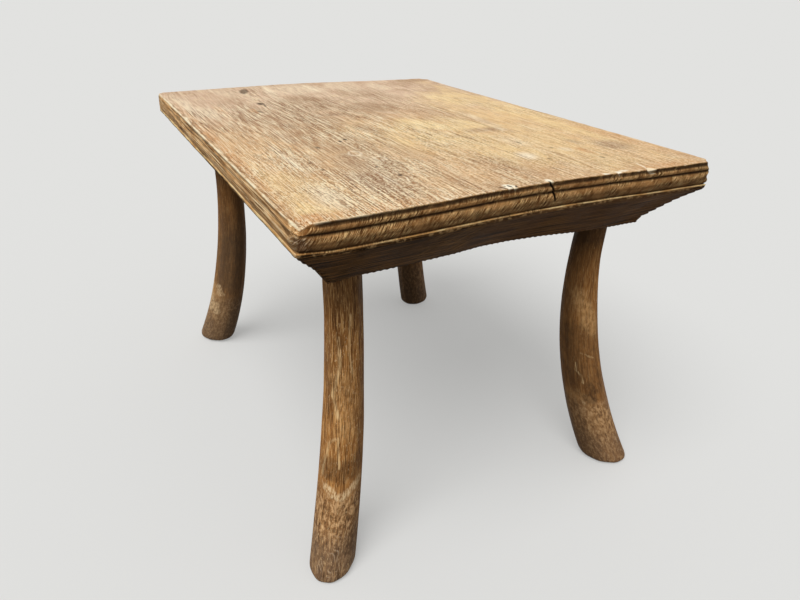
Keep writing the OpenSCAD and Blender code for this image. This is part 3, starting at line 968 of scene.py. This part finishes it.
def build_leg(name, side, reach, seed):
    """A bent leg with the flats and lumps of hand work, its sole worn round, and its tenon."""
    foot_creep, grain_loss, greyness, top_wider = LEG_WEAR[name]
    height = UNDER_Z
    foot = leg_centre(side)
    reach = np.array([side[0] * reach[0], side[1] * reach[1]])
    far = np.hypot(*reach)
    bend = reach / far
    cross = np.array([-bend[1], bend[0]])
    sides = LEG_SIDES
    heights = [height - (height - SOLE_ROUND) * i / LEG_RINGS for i in range(LEG_RINGS)]
    heights += [SOLE_ROUND * (1 - math.sin(math.pi / 2 * i / SOLE_RINGS)) for i in range(SOLE_RINGS + 1)]
    z = np.repeat(heights, sides)
    angle = np.tile(np.arange(sides) * 2 * math.pi / sides, len(heights))
    t = 1 - z / height
    sweep = (1 + LEAN_IN) * t ** SWEEP_POWER - LEAN_IN * t
    slope = far / height * ((1 + LEAN_IN) * SWEEP_POWER * t ** (SWEEP_POWER - 1) - LEAN_IN)
    deep, wide = leg_section(t, z, top_wider)
    straight = np.column_stack([np.cos(angle) * deep, np.sin(angle) * wide, z])
    drawn = straight
    inset = leg_inset(angle, straight, seed)
    across = np.cos(angle) * (deep * np.sqrt(1 + slope ** 2) - inset)
    along = np.sin(angle) * (wide - inset)
    creep = np.array(foot_creep) * smooth(0, 0.6, t)[:, None]
    flat = foot + reach * sweep[:, None] + creep + across[:, None] * bend + along[:, None] * cross
    outward = np.cos(angle)[:, None] * bend + np.sin(angle)[:, None] * cross
    # Painted shade on the side of a leg that faces in under the table
    inner = smooth(-0.1, 1.0, -outward @ (np.array(LIT_SIDE_WAY) * side))
    growth = growth_rings(angle, straight, seed)
    vertices = np.column_stack([flat, z])
    vertices[:, 2] += crown(vertices[:, 0], vertices[:, 1]) * smooth(height - 90, height, z)
    faces = leg_faces(len(heights))
    flat_from = len(faces)
    tenon = tenon_points(foot, height)
    turn = int(np.argmax((tenon[:sides, :2] - foot) @ bend))
    faces += tenon_faces(len(vertices), turn)
    straight = np.concatenate([straight, tenon - np.array([*foot, 0])]) + np.array([60.0 * seed, 0, 0])
    tenon[:sides, 2] += crown(tenon[:sides, 0], tenon[:sides, 1])
    quiet = np.full(len(vertices), grain_loss)
    greyed = greyness * smooth(300, 200, z)
    masks = {"inner": inner, "rings": growth, "quiet": quiet, "greyed": greyed,
             **leg_marks(name, angle, drawn, seed)}
    masks = {shade: np.concatenate([values, np.zeros(len(tenon))]) for shade, values in masks.items()}
    return make_mesh(name.replace("leg_", "bent_leg_"), np.concatenate([vertices, tenon]), faces,
                     {"straight": straight, **masks}, flat_from)


# Materials

class Nodes:
    """A shader tree, and short names for the nodes in it."""

    def __init__(self, tree):
        self.tree = tree

    def plug(self, socket, value):
        if isinstance(value, bpy.types.NodeSocket):
            self.tree.links.new(value, socket)
        else:
            socket.default_value = value

    def add(self, kind, *inputs, **settings):
        """A node with its settings, and with values or sockets plugged into its first inputs."""
        node = self.tree.nodes.new(kind)
        for key, value in settings.items():
            setattr(node, key, value)
        for socket, value in zip(node.inputs, inputs):
            self.plug(socket, value)
        return node

    def math(self, operation, a, b=0.0):
        return self.add("ShaderNodeMath", a, b, operation=operation).outputs[0]

    def seen_rays(self):
        """1 for rays that carry the background to the camera, straight, mirrored or through glass."""
        path = self.add("ShaderNodeLightPath").outputs
        seen = path["Is Camera Ray"]
        for name in ("Is Glossy Ray", "Is Transmission Ray"):
            seen = self.math("MAXIMUM", seen, path[name])
        return seen


class Wood(Nodes):
    """A wood material, and short names for the patterns and layers that it is made of."""

    def __init__(self, name, attribute=None):
        self.material = bpy.data.materials.new(name)
        self.material.use_nodes = True
        super().__init__(self.material.node_tree)
        self.shader = self.tree.nodes["Principled BSDF"]
        if attribute:
            self.place = self.add("ShaderNodeAttribute", attribute_name=attribute).outputs["Vector"]
        else:
            self.place = self.stretch(self.add("ShaderNodeTexCoord").outputs["Object"], (1 / METRE,) * 3)
        self.along, self.across, self.height = self.add("ShaderNodeSeparateXYZ", self.place).outputs

    def value(self, attribute):
        return self.add("ShaderNodeAttribute", attribute_name=attribute).outputs["Fac"]

    def stretch(self, vector, sizes, shift=(0, 0, 0)):
        """The vector in units of the given sizes, moved by a shift."""
        units = [1 / size for size in sizes]
        return self.add("ShaderNodeVectorMath", vector, units, shift, operation="MULTIPLY_ADD").outputs[0]

    def leaning(self, degrees):
        """The place turned about X, so that level lines in it lean by this angle on the front end."""
        node = self.add("ShaderNodeVectorRotate", self.place, rotation_type="X_AXIS")
        node.inputs["Angle"].default_value = math.radians(degrees)
        return node.outputs[0]

    def noise(self, sizes, shift=0.0, detail=2.0, roughness=0.5, place=None):
        """Noise around 0.5 with bumps of these sizes in millimetres."""
        node = self.add("ShaderNodeTexNoise", self.stretch(place or self.place, sizes, (shift,) * 3))
        for key, value in (("Scale", 1.0), ("Detail", detail), ("Roughness", roughness)):
            node.inputs[key].default_value = value
        return node.outputs[0]

    def ramp(self, value, low, high, start=0.0, end=1.0):
        """start at low, end at high, flat past both, with an even curve between them."""
        if low > high:
            low, high, start, end = high, low, end, start
        node = self.add("ShaderNodeMapRange", value, low, high, start, end, interpolation_type="SMOOTHSTEP")
        return node.outputs["Result"]

    def oval(self, x, y, half_x, half_y, turn, ragged):
        """Distance from a ragged oval's middle on the top face, 1 on its edge."""
        turned = self.add("ShaderNodeVectorRotate", self.place, (x, y, 0), rotation_type="Z_AXIS")
        turned.inputs["Angle"].default_value = math.radians(-turn)
        moved = self.stretch(turned.outputs[0], (half_x, half_y, 1e6), (-x / half_x, -y / half_y, 0))
        length = self.add("ShaderNodeVectorMath", moved, operation="LENGTH").outputs["Value"]
        return self.math("ADD", length, self.math("SUBTRACT", ragged, 0.5))

    def times(self, a, b):
        return self.math("MULTIPLY", a, b)

    def mix(self, factor, a, b):
        node = self.add("ShaderNodeMix", factor, data_type="RGBA")
        self.plug(node.inputs[6], a)
        self.plug(node.inputs[7], b)
        return node.outputs[2]

    def tones(self, value, dark, light):
        """A dark shade where a noise is low, and a light one where it is high."""
        return self.mix(self.ramp(value, 0.36, 0.64), srgb(*dark), srgb(*light))

    def layers(self, colour, *rows):
        """A colour with shades laid over it, one to a row.

        A row holds the value that says where the shade lies, the two limits between which the shade
        comes in, its greatest strength, the shade, and a mask if there is one."""
        for value, low, high, strength, shade, *mask in rows:
            factor = self.ramp(value, low, high, 0, strength)
            if mask:
                factor = self.times(mask[0], factor)
            colour = self.mix(factor, colour, srgb(*shade))
        return colour

    def bump(self, height, distance, under=None):
        """Bump of a height from 0 to 1 that stands this many millimetres high."""
        node = self.add("ShaderNodeBump")
        node.inputs["Distance"].default_value = distance / METRE
        self.plug(node.inputs["Height"], height)
        if under:
            self.plug(node.inputs["Normal"], under)
        return node.outputs[0]

    def finish(self, colour, roughness, normal, shine=0.3):
        for key, value in (("Base Color", colour), ("Roughness", roughness), ("Normal", normal),
                           ("Specular IOR Level", shine)):
            self.plug(self.shader.inputs[key], value)
        return self.material


# Small marks on the top face: place, half length, half width, turn in degrees, strength
TOP_MARKS = {
    "pale": [
        (234, -100, 8, 1.1, -18, 0.6), (220, -115, 32, 1.1, 1, 0.45), (293, 13, 4.5, 1.6, -20, 0.9),
        (286, 141, 14, 1.2, -14, 0.8), (150, -175, 40, 1.0, 0, 0.35), (292.5, -32, 7, 6, 0, 1.0),
        (296, 81, 3.2, 3.8, 0, 1.0), (295, 98, 3.8, 3.4, 0, 1.0), (292, 107, 3, 8, 0, 0.7),
        (293, 12, 5, 4, 0, 0.9), (294, -96, 5, 1.2, 20, 0.8),
    ],
    "dark": [
        (-255, -113, 23, 7, -15, 0.72), (-152, -118, 8, 5, 0, 0.85), (-140, -116, 13, 1.5, -8, 0.7),
        (-102, -134, 10, 2, 15, 0.7), (79, -93, 3.2, 2.2, 20, 1.0), (84, -101, 2.8, 2.2, 0, 1.0),
        (220, -100, 2.8, 2.4, 0, 0.9), (187, -108, 2.2, 1.6, 0, 0.8), (97, -132, 5, 3, 0, 0.6),
        (173, -157, 2.2, 1.5, 0, 0.8), (147, -160, 2.2, 1.5, 0, 0.8), (245, 127, 3.5, 2.2, 0, 0.6),
        (195, 101, 4, 2.2, 0, 0.5), (232, 66, 3.5, 2, 0, 0.5), (165, 80, 5, 2.5, 0, 0.5),
        (292, -31, 4, 1.3, 10, 1.0), (297, -35, 1.4, 2.4, 0, 0.9), (292, -39, 5, 1.1, 30, 1.0),
        (295, -26, 4, 1.0, -30, 0.9), (290, -35, 1.5, 0.8, 0, 0.8),
    ],
}
# Colour of each mark, from 0 to 255
MARK_COLOURS = {"pale": (255, 244, 218), "dark": (70, 52, 36)}
# Pale rings left on the top face: place and radius
TOP_RINGS = [(135, -107, 8), (163, -92, 7)]


def top_colour(n, grain):
    """The faded top face: broad tone, stains, grain lines, pores and small marks."""
    tone = n.noise((150, 60, 60), 1.7, 3, 0.6)
    front = n.tones(tone, (212, 168, 122), (234, 190, 140))
    back = n.tones(tone, (209, 173, 143), (229, 196, 167))
    cloud = n.noise((24, 13, 13), 12.6, 5, 0.7)
    blotch = n.noise((44, 20, 20), 8.2, 5, 0.7)
    colour = n.layers(
        n.mix(n.ramp(n.along, 60, -150), front, back),
        (blotch, 0.5, 0.62, 0.3, (178, 138, 104)),
        (cloud, 0.52, 0.64, 0.35, (255, 230, 184)),
        (cloud, 0.47, 0.35, 0.35, (178, 136, 100)))
    stain_edge = n.ramp(cloud, 0.36, 0.52, 0.6, 1.0)
    for shade, value in STAIN_COLOURS.items():
        colour = n.mix(n.times(n.value(shade), stain_edge), colour, srgb(*value))

    streak = n.noise((120, 2.4, 2.4), 2.3, 3, 0.6, grain)
    fine = n.noise((40, 0.9, 0.9), 5.9, 2, 0.6, grain)
    fleck = n.noise((4.2, 1.2, 1.2), 21.4, 3, 0.65, grain)
    pore = n.noise((5, 0.7, 0.7), 9.4, 1, 0.5, grain)
    speck = n.noise((3.0, 1.5, 1.5), 36.1, 1, 0.5)
    speckled = n.ramp(n.along, -80, 200, 0.2, 1.0)
    lined = n.layers(
        colour,
        (streak, 0.54, 0.66, 0.25, (255, 232, 190)),
        (streak, 0.46, 0.36, 0.3, (156, 114, 78)),
        (fine, 0.53, 0.58, 0.95, (255, 242, 208)),
        (fine, 0.47, 0.42, 0.95, (122, 80, 48)),
        (fleck, 0.57, 0.64, 0.75, (255, 242, 208)),
        (fleck, 0.41, 0.35, 0.55, (158, 106, 64)),
        (pore, 0.66, 0.72, 0.8, (92, 60, 34)),
        (speck, 0.56, 0.66, 0.75, (255, 240, 204), speckled),
        (speck, 0.42, 0.33, 0.6, (138, 94, 58), speckled))
    strength = n.ramp(n.noise((120, 60, 60), 15.2, 3, 0.6), 0.36, 0.6, 0.55, 1.0)
    near = n.times(n.ramp(n.along, -260, -40, 0.6, 1.0), n.ramp(n.across, 90, -60, 0.62, 1.0))
    colour = n.mix(n.times(strength, near), colour, lined)

    ragged = n.noise((3.5, 3.5, 3.5), 18.9, 2)
    for shade, marks in TOP_MARKS.items():
        for *oval, mark_strength in marks:
            colour = n.layers(colour, (n.oval(*oval, ragged), 1.15, 0.6, mark_strength, MARK_COLOURS[shade]))
    for x, y, radius in TOP_RINGS:
        off = n.math("ABSOLUTE", n.math("SUBTRACT", n.oval(x, y, radius, radius * 0.8, 0, ragged), 1.0))
        colour = n.layers(colour, (off, 0.3, 0.1, 0.4, MARK_COLOURS["pale"]))
    return colour, tone, streak, fine, fleck


def moulding_colour(n, fine):
    """The moulding: leaning fibres on the end grain, long fibres on the long sides."""
    hatch = n.noise((EVEN, 9, 0.5), 6.6, 2, 0.5, n.leaning(-52))
    patch = n.noise((30, 16, 12), 22.3, 3, 0.6)
    hatched = n.ramp(n.noise((60, 34, 10), 34.9, 2, 0.6), 0.4, 0.58, 0.35, 1.0)
    end_colour = n.layers(
        n.tones(patch, (142, 96, 52), (198, 144, 88)),
        (hatch, 0.52, 0.58, 1, (255, 212, 146), hatched),
        (hatch, 0.48, 0.42, 1, (70, 40, 16), hatched))
    side_lines = n.noise((60, 1.6, 1.0), 33.7, 3, 0.6)
    side_colour = n.layers(
        n.tones(patch, (196, 146, 92), (242, 192, 132)),
        (side_lines, 0.54, 0.62, 0.85, (255, 230, 184)),
        (side_lines, 0.46, 0.38, 0.85, (92, 60, 32)))
    colour = n.mix(n.value("end"), side_colour, end_colour)
    return n.layers(colour, (fine, 0.46, 0.3, 0.5, (88, 58, 30))), hatch


# Leaning saw marks on the end chamfers: middle, towards the left, and half their spread
SAW_MARKS_AT = 82.0
SAW_MARKS_HALF = 32.0


def chamfer_colour(n):
    """The dark chamfer and underside, dark partly in the old wood's own colour and partly with painted shade
    of these downward faces: fine level lines, with leaning saw marks near the front left.
    """
    lines = n.noise((70, 60, 0.9), 3.9, 2, 0.6)
    patch = n.noise((60, 50, 30), 24.1, 3, 0.6)
    level = n.times(n.math("SUBTRACT", 1.0, n.times(n.value("flat"), 0.7)), 0.8)
    saw = n.noise((EVEN, 60, 1.6), 27.7, 2, 0.6, n.leaning(-45))
    band = n.math("ABSOLUTE", n.math("ADD", n.across, SAW_MARKS_AT))
    sawn = n.times(n.ramp(band, SAW_MARKS_HALF, SAW_MARKS_HALF * 0.6), n.value("end"))
    lumps = n.noise((6, 4.5, 3.5), 29.5, 3, 0.6)
    # Dark base colour: partly the old wood's own, partly painted shade of the downward faces
    colour = n.layers(
        n.mix(n.ramp(n.across, -150, 60), srgb(46, 27, 6), srgb(86, 58, 34)),
        (patch, 0.5, 0.62, 0.55, (106, 74, 40)),
        (lines, 0.52, 0.6, 1, (124, 88, 50), level),
        (lines, 0.48, 0.4, 1, (28, 16, 6), level),
        (saw, 0.5, 0.6, 0.45, (150, 112, 66), sawn),
        (lumps, 0.48, 0.6, 0.7, (176, 142, 98), n.value("lip")))
    return colour, lines


# The grain lines of the slab wander this far across
GRAIN_WANDER = 14.0


def slab_wood():
    """The wood of the slab, with each part of its skin where its mask lies."""
    n = Wood("old_slab_wood")
    wander = n.stretch(n.noise((190, 70, 70), 3.1, 1), (1, 1, 1), (-0.5,) * 3)
    grain = n.add("ShaderNodeVectorMath", wander, (0, GRAIN_WANDER, 0), n.place, operation="MULTIPLY_ADD")
    colour, tone, streak, fine, fleck = top_colour(n, grain.outputs[0])
    edge, hatch = moulding_colour(n, fine)
    colour = n.mix(n.value("side"), colour, edge)

    rubbed = n.times(n.value("rub"), n.ramp(n.noise((9, 9, 6), 4.4, 3), 0.3, 0.55, 0.35, 1.0))
    colour = n.layers(colour, (rubbed, 0.28, 0.75, 0.9, (255, 236, 200)))
    scuffs = n.mix(n.ramp(hatch, 0.54, 0.62), srgb(66, 46, 32), srgb(196, 176, 152))
    dirt_and_shade = n.times(n.value("hollow"), n.ramp(n.noise((12, 12, 3), 7.7, 3), 0.25, 0.55, 0.7, 1.0))
    # Pale line along the top edges: partly worn wood, partly painted highlight on the bevel
    colour = n.mix(n.times(n.value("arris"), 0.95), colour, srgb(255, 240, 204))
    colour = n.mix(n.times(n.value("seam"), 0.75), colour, srgb(128, 84, 46))
    colour = n.mix(n.times(n.value("scuffed"), 0.75), colour, scuffs)
    # Dark in the riser, the groove and the splits is partly dirt and partly painted shade; dark on the lower
    # face of the large bead is painted shade
    colour = n.mix(n.times(dirt_and_shade, 0.92), colour, srgb(48, 31, 16))
    # Near black in the drying crack: painted shade in its depth
    colour = n.layers(colour, (n.value("crack"), 0.1, 0.45, 0.97, (20, 12, 6)))
    flecked = n.ramp(n.noise((26, 22, 4), 31.3, 5, 0.75), 0.42, 0.56, 0.12, 1.0)
    # Painted highlight along the upward face of the ledge
    ledge = n.mix(n.ramp(n.noise((40, 34, 8), 32.6, 2), 0.4, 0.6), srgb(214, 162, 96), srgb(255, 226, 164))
    colour = n.mix(n.times(n.value("ledge"), flecked), colour, ledge)
    under, lines = chamfer_colour(n)
    # The chamfer and underside, darkened partly by their own colour and partly by painted shade
    colour = n.mix(n.value("below"), colour, under)
    colour = n.layers(colour, (n.value("bore"), 0.02, 0.2, 1, (190, 144, 94)))

    height = n.math("ADD", n.times(streak, 0.5), n.times(fine, 0.5))
    normal = n.bump(fleck, 0.35, n.bump(height, 0.9))
    on_end = n.times(hatch, n.times(n.value("end"), n.value("side")))
    normal = n.bump(lines, 0.5, n.bump(on_end, 0.25, normal))
    return n.finish(colour, n.ramp(tone, 0.3, 0.7, 0.66, 0.84), normal, 0.06)


def leg_wood():
    """The wood of the legs: darker at the top with painted shade under the slab, darker on the inner side
    with painted shade, mottled at the foot, and pale in the tenons.
    """
    n = Wood("old_leg_wood", "straight")
    height = n.height
    streak = n.noise((3.4, 3.4, 80), 1.2, 3, 0.6)
    fine = n.noise((0.72, 0.72, 42), 3.3, 2, 0.6)
    fleck = n.noise((1.1, 1.1, 5), 13.3, 2, 0.6)
    tone = n.noise((22, 22, 80), 5.1, 3, 0.6)
    mottle = n.noise((3.6, 3.6, 6.5), 7.9, 4, 0.65)
    colour = n.layers(
        n.tones(tone, (138, 90, 44), (184, 126, 68)),
        (streak, 0.53, 0.68, 0.5, (214, 156, 90)),
        (streak, 0.47, 0.33, 0.5, (98, 62, 30)))
    gold = n.times(n.value("gold"), n.ramp(mottle, 0.42, 0.58, 0.35, 1.0))
    colour = n.mix(n.times(gold, 0.8), colour, srgb(238, 184, 120))

    lively = n.math("SUBTRACT", 1.0, n.value("quiet"))
    mottled = n.times(n.ramp(height, 108, 84), n.math("SUBTRACT", 1.0, n.times(n.value("quiet"), 0.8)))
    # Grain lines and flecks fade towards the top of a leg, into its painted shade
    grown = n.times(n.times(n.ramp(height, 118, 96, 1.0, 0.45), n.ramp(height, 325, 262, 0.55, 1.0)), lively)
    flecked = n.times(lively, n.ramp(height, 325, 262, 0.3, 1.0))
    colour = n.layers(
        colour,
        # Painted shade at the top of each leg, under the slab
        (height, 262, 325, 0.72, (62, 39, 16)),
        (height, 108, 84, 0.6, (134, 99, 68)),
        (mottle, 0.51, 0.58, 0.7, (234, 188, 136), mottled),
        (mottle, 0.46, 0.38, 0.7, (72, 50, 32), mottled),
        (height, 70, 30, 0.65, (118, 96, 76), lively),
        (fine, 0.54, 0.62, 0.65, (238, 188, 124), grown),
        (fine, 0.47, 0.39, 0.7, (58, 36, 16), grown),
        (fleck, 0.6, 0.7, 0.55, (252, 214, 160), flecked),
        (fleck, 0.38, 0.3, 0.55, (46, 28, 14), flecked),
        (n.value("rings"), 0.2, 0.8, 0.45, (206, 182, 152)),
        (n.value("rings"), -0.2, -0.8, 0.45, (66, 48, 34)))

    # The dark marks are real marks and cracks, and also painted shade over the back right leg
    dark = n.times(n.value("dark"), n.ramp(mottle, 0.3, 0.6, 1.0, 0.6))
    pale = n.times(n.value("pale"), n.ramp(fine, 0.45, 0.56, 0.05, 0.9))
    scar = n.times(n.value("scar"), n.ramp(fleck, 0.42, 0.56, 0.1, 0.95))
    colour = n.mix(dark, colour, srgb(72, 48, 28))
    colour = n.mix(n.value("greyed"), colour, srgb(108, 96, 78))
    colour = n.mix(pale, colour, srgb(252, 214, 156))
    colour = n.mix(scar, colour, srgb(238, 204, 156))
    # Painted shade on the inner side of each leg, under the table
    colour = n.mix(n.times(n.value("inner"), 0.6), colour, srgb(46, 31, 16))
    colour = n.layers(colour, (height, UNDER_Z + 0.5, UNDER_Z + 2, 0.8, (196, 148, 92)))
    ridges = n.math("ADD", n.times(streak, 0.4), n.times(fine, 0.6))
    normal = n.bump(mottle, 0.5, n.bump(ridges, 0.9))
    return n.finish(colour, n.ramp(tone, 0.3, 0.7, 0.55, 0.75), normal, 0.1)


def wedge_wood():
    """The pale split wood of the wedges."""
    n = Wood("split_wedge_wood")
    streak = n.noise((1.2, 6, 40), 2.2, 3, 0.6)
    colour = n.mix(n.ramp(streak, 0.35, 0.65), srgb(176, 140, 92), srgb(226, 198, 150))
    return n.finish(colour, n.ramp(streak, 0.3, 0.7, 0.6, 0.75), n.bump(streak, 0.3))


# Stage: the camera stands where the photograph's did, in metres and degrees

CAMERA_AT = Vector((0.6836, -0.3562, 0.5823))
CAMERA_TURN = -29.2476
CAMERA_UP = 28.5942
CAMERA_ROLL = 1.6984
CAMERA_LENS = 26.67
SENSOR = 36.0
# Light of the room and of one wide soft lamp, and the floor: how it shows, glows and throws light back
BACKGROUND = srgb(225, 225, 223)
WORLD_LEVEL = 0.42
SUN_LEVEL = 2.1
SUN_SPREAD = 42
SUN_FROM = (0.3, -0.5, 1.0)
FLOOR_SEEN = 0.6
FLOOR_GLOW = 0.41
FLOOR_BOUNCE = 0.2
FLOOR_HALF = 60.0


def add_camera():
    """The camera of the photograph, turned, lifted and rolled as it was held."""
    turn, up, roll = (math.radians(v) for v in (CAMERA_TURN, CAMERA_UP, CAMERA_ROLL))
    back = Vector((math.cos(turn) * math.cos(up), math.sin(turn) * math.cos(up), math.sin(up)))
    right = Vector((-math.sin(turn), math.cos(turn), 0))
    upward = back.cross(right)
    tilted = right * math.cos(roll) + upward * math.sin(roll)
    upward = upward * math.cos(roll) - right * math.sin(roll)
    camera = bpy.data.objects.new("camera", bpy.data.cameras.new("camera"))
    camera.data.lens = CAMERA_LENS
    camera.data.sensor_width = SENSOR
    camera.data.sensor_fit = "HORIZONTAL"
    camera.data.clip_end = 200
    axes = Matrix((tilted, upward, back)).transposed()
    camera.matrix_world = Matrix.Translation(CAMERA_AT) @ axes.to_4x4()
    bpy.context.scene.collection.objects.link(camera)
    bpy.context.scene.camera = camera


def add_world():
    """The even light of the room, which the camera sees as the flat background."""
    world = bpy.data.worlds.new("studio")
    bpy.context.scene.world = world
    world.use_nodes = True
    n = Nodes(world.node_tree)
    n.tree.nodes.clear()
    light = n.add("ShaderNodeBackground", (1, 1, 1, 1), WORLD_LEVEL)
    shown = n.add("ShaderNodeBackground", BACKGROUND)
    both = n.add("ShaderNodeMixShader", n.seen_rays(), light.outputs[0], shown.outputs[0])
    n.add("ShaderNodeOutputWorld", both.outputs[0])


def add_sun():
    """The wide soft lamp, above the front left of the table."""
    sun = bpy.data.lights.new("key", "SUN")
    sun.energy = SUN_LEVEL
    sun.angle = math.radians(SUN_SPREAD)
    key = bpy.data.objects.new("key", sun)
    key.rotation_euler = Vector(SUN_FROM).to_track_quat("Z", "Y").to_euler()
    bpy.context.scene.collection.objects.link(key)


def add_floor():
    """A pale floor that shows the background's colour and the table's shadow, and throws little light."""
    mesh = bpy.data.meshes.new("floor")
    corners = [(x * FLOOR_HALF, y * FLOOR_HALF, 0) for x, y in ((-1, -1), (1, -1), (1, 1), (-1, 1))]
    mesh.from_pydata(corners, [], [(0, 1, 2, 3)])
    floor = bpy.data.objects.new("floor", mesh)
    bpy.context.scene.collection.objects.link(floor)
    material = bpy.data.materials.new("floor")
    material.use_nodes = True
    n = Nodes(material.node_tree)
    n.tree.nodes.clear()
    seen = n.add("ShaderNodeBsdfDiffuse", [FLOOR_SEEN * v for v in BACKGROUND[:3]] + [1])
    glow = n.add("ShaderNodeEmission", BACKGROUND, FLOOR_GLOW)
    bounce = n.add("ShaderNodeBsdfDiffuse", (FLOOR_BOUNCE,) * 3 + (1,))
    lit = n.add("ShaderNodeAddShader", seen.outputs[0], glow.outputs[0])
    both = n.add("ShaderNodeMixShader", n.seen_rays(), bounce.outputs[0], lit.outputs[0])
    n.add("ShaderNodeOutputMaterial", both.outputs[0])
    mesh.materials.append(material)


bpy.context.scene.view_settings.view_transform = "Standard"
add_camera()
add_world()
add_sun()
add_floor()

slab = build_slab()
slab.data.materials.append(slab_wood())
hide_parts("top_slab")
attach(slab, "root")

leg_material = leg_wood()
for number, (leg_name, (leg_side, leg_reach)) in enumerate(LEGS.items()):
    leg = build_leg(leg_name, leg_side, leg_reach, 200 + 20 * number)
    leg.data.materials.append(leg_material)
    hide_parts(leg_name)
    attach(leg, "root")

wedge_material = wedge_wood()
for node_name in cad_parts:
    if node_name.startswith("wedge"):
        bpy.data.objects[node_name].material_slots[0].material = wedge_material
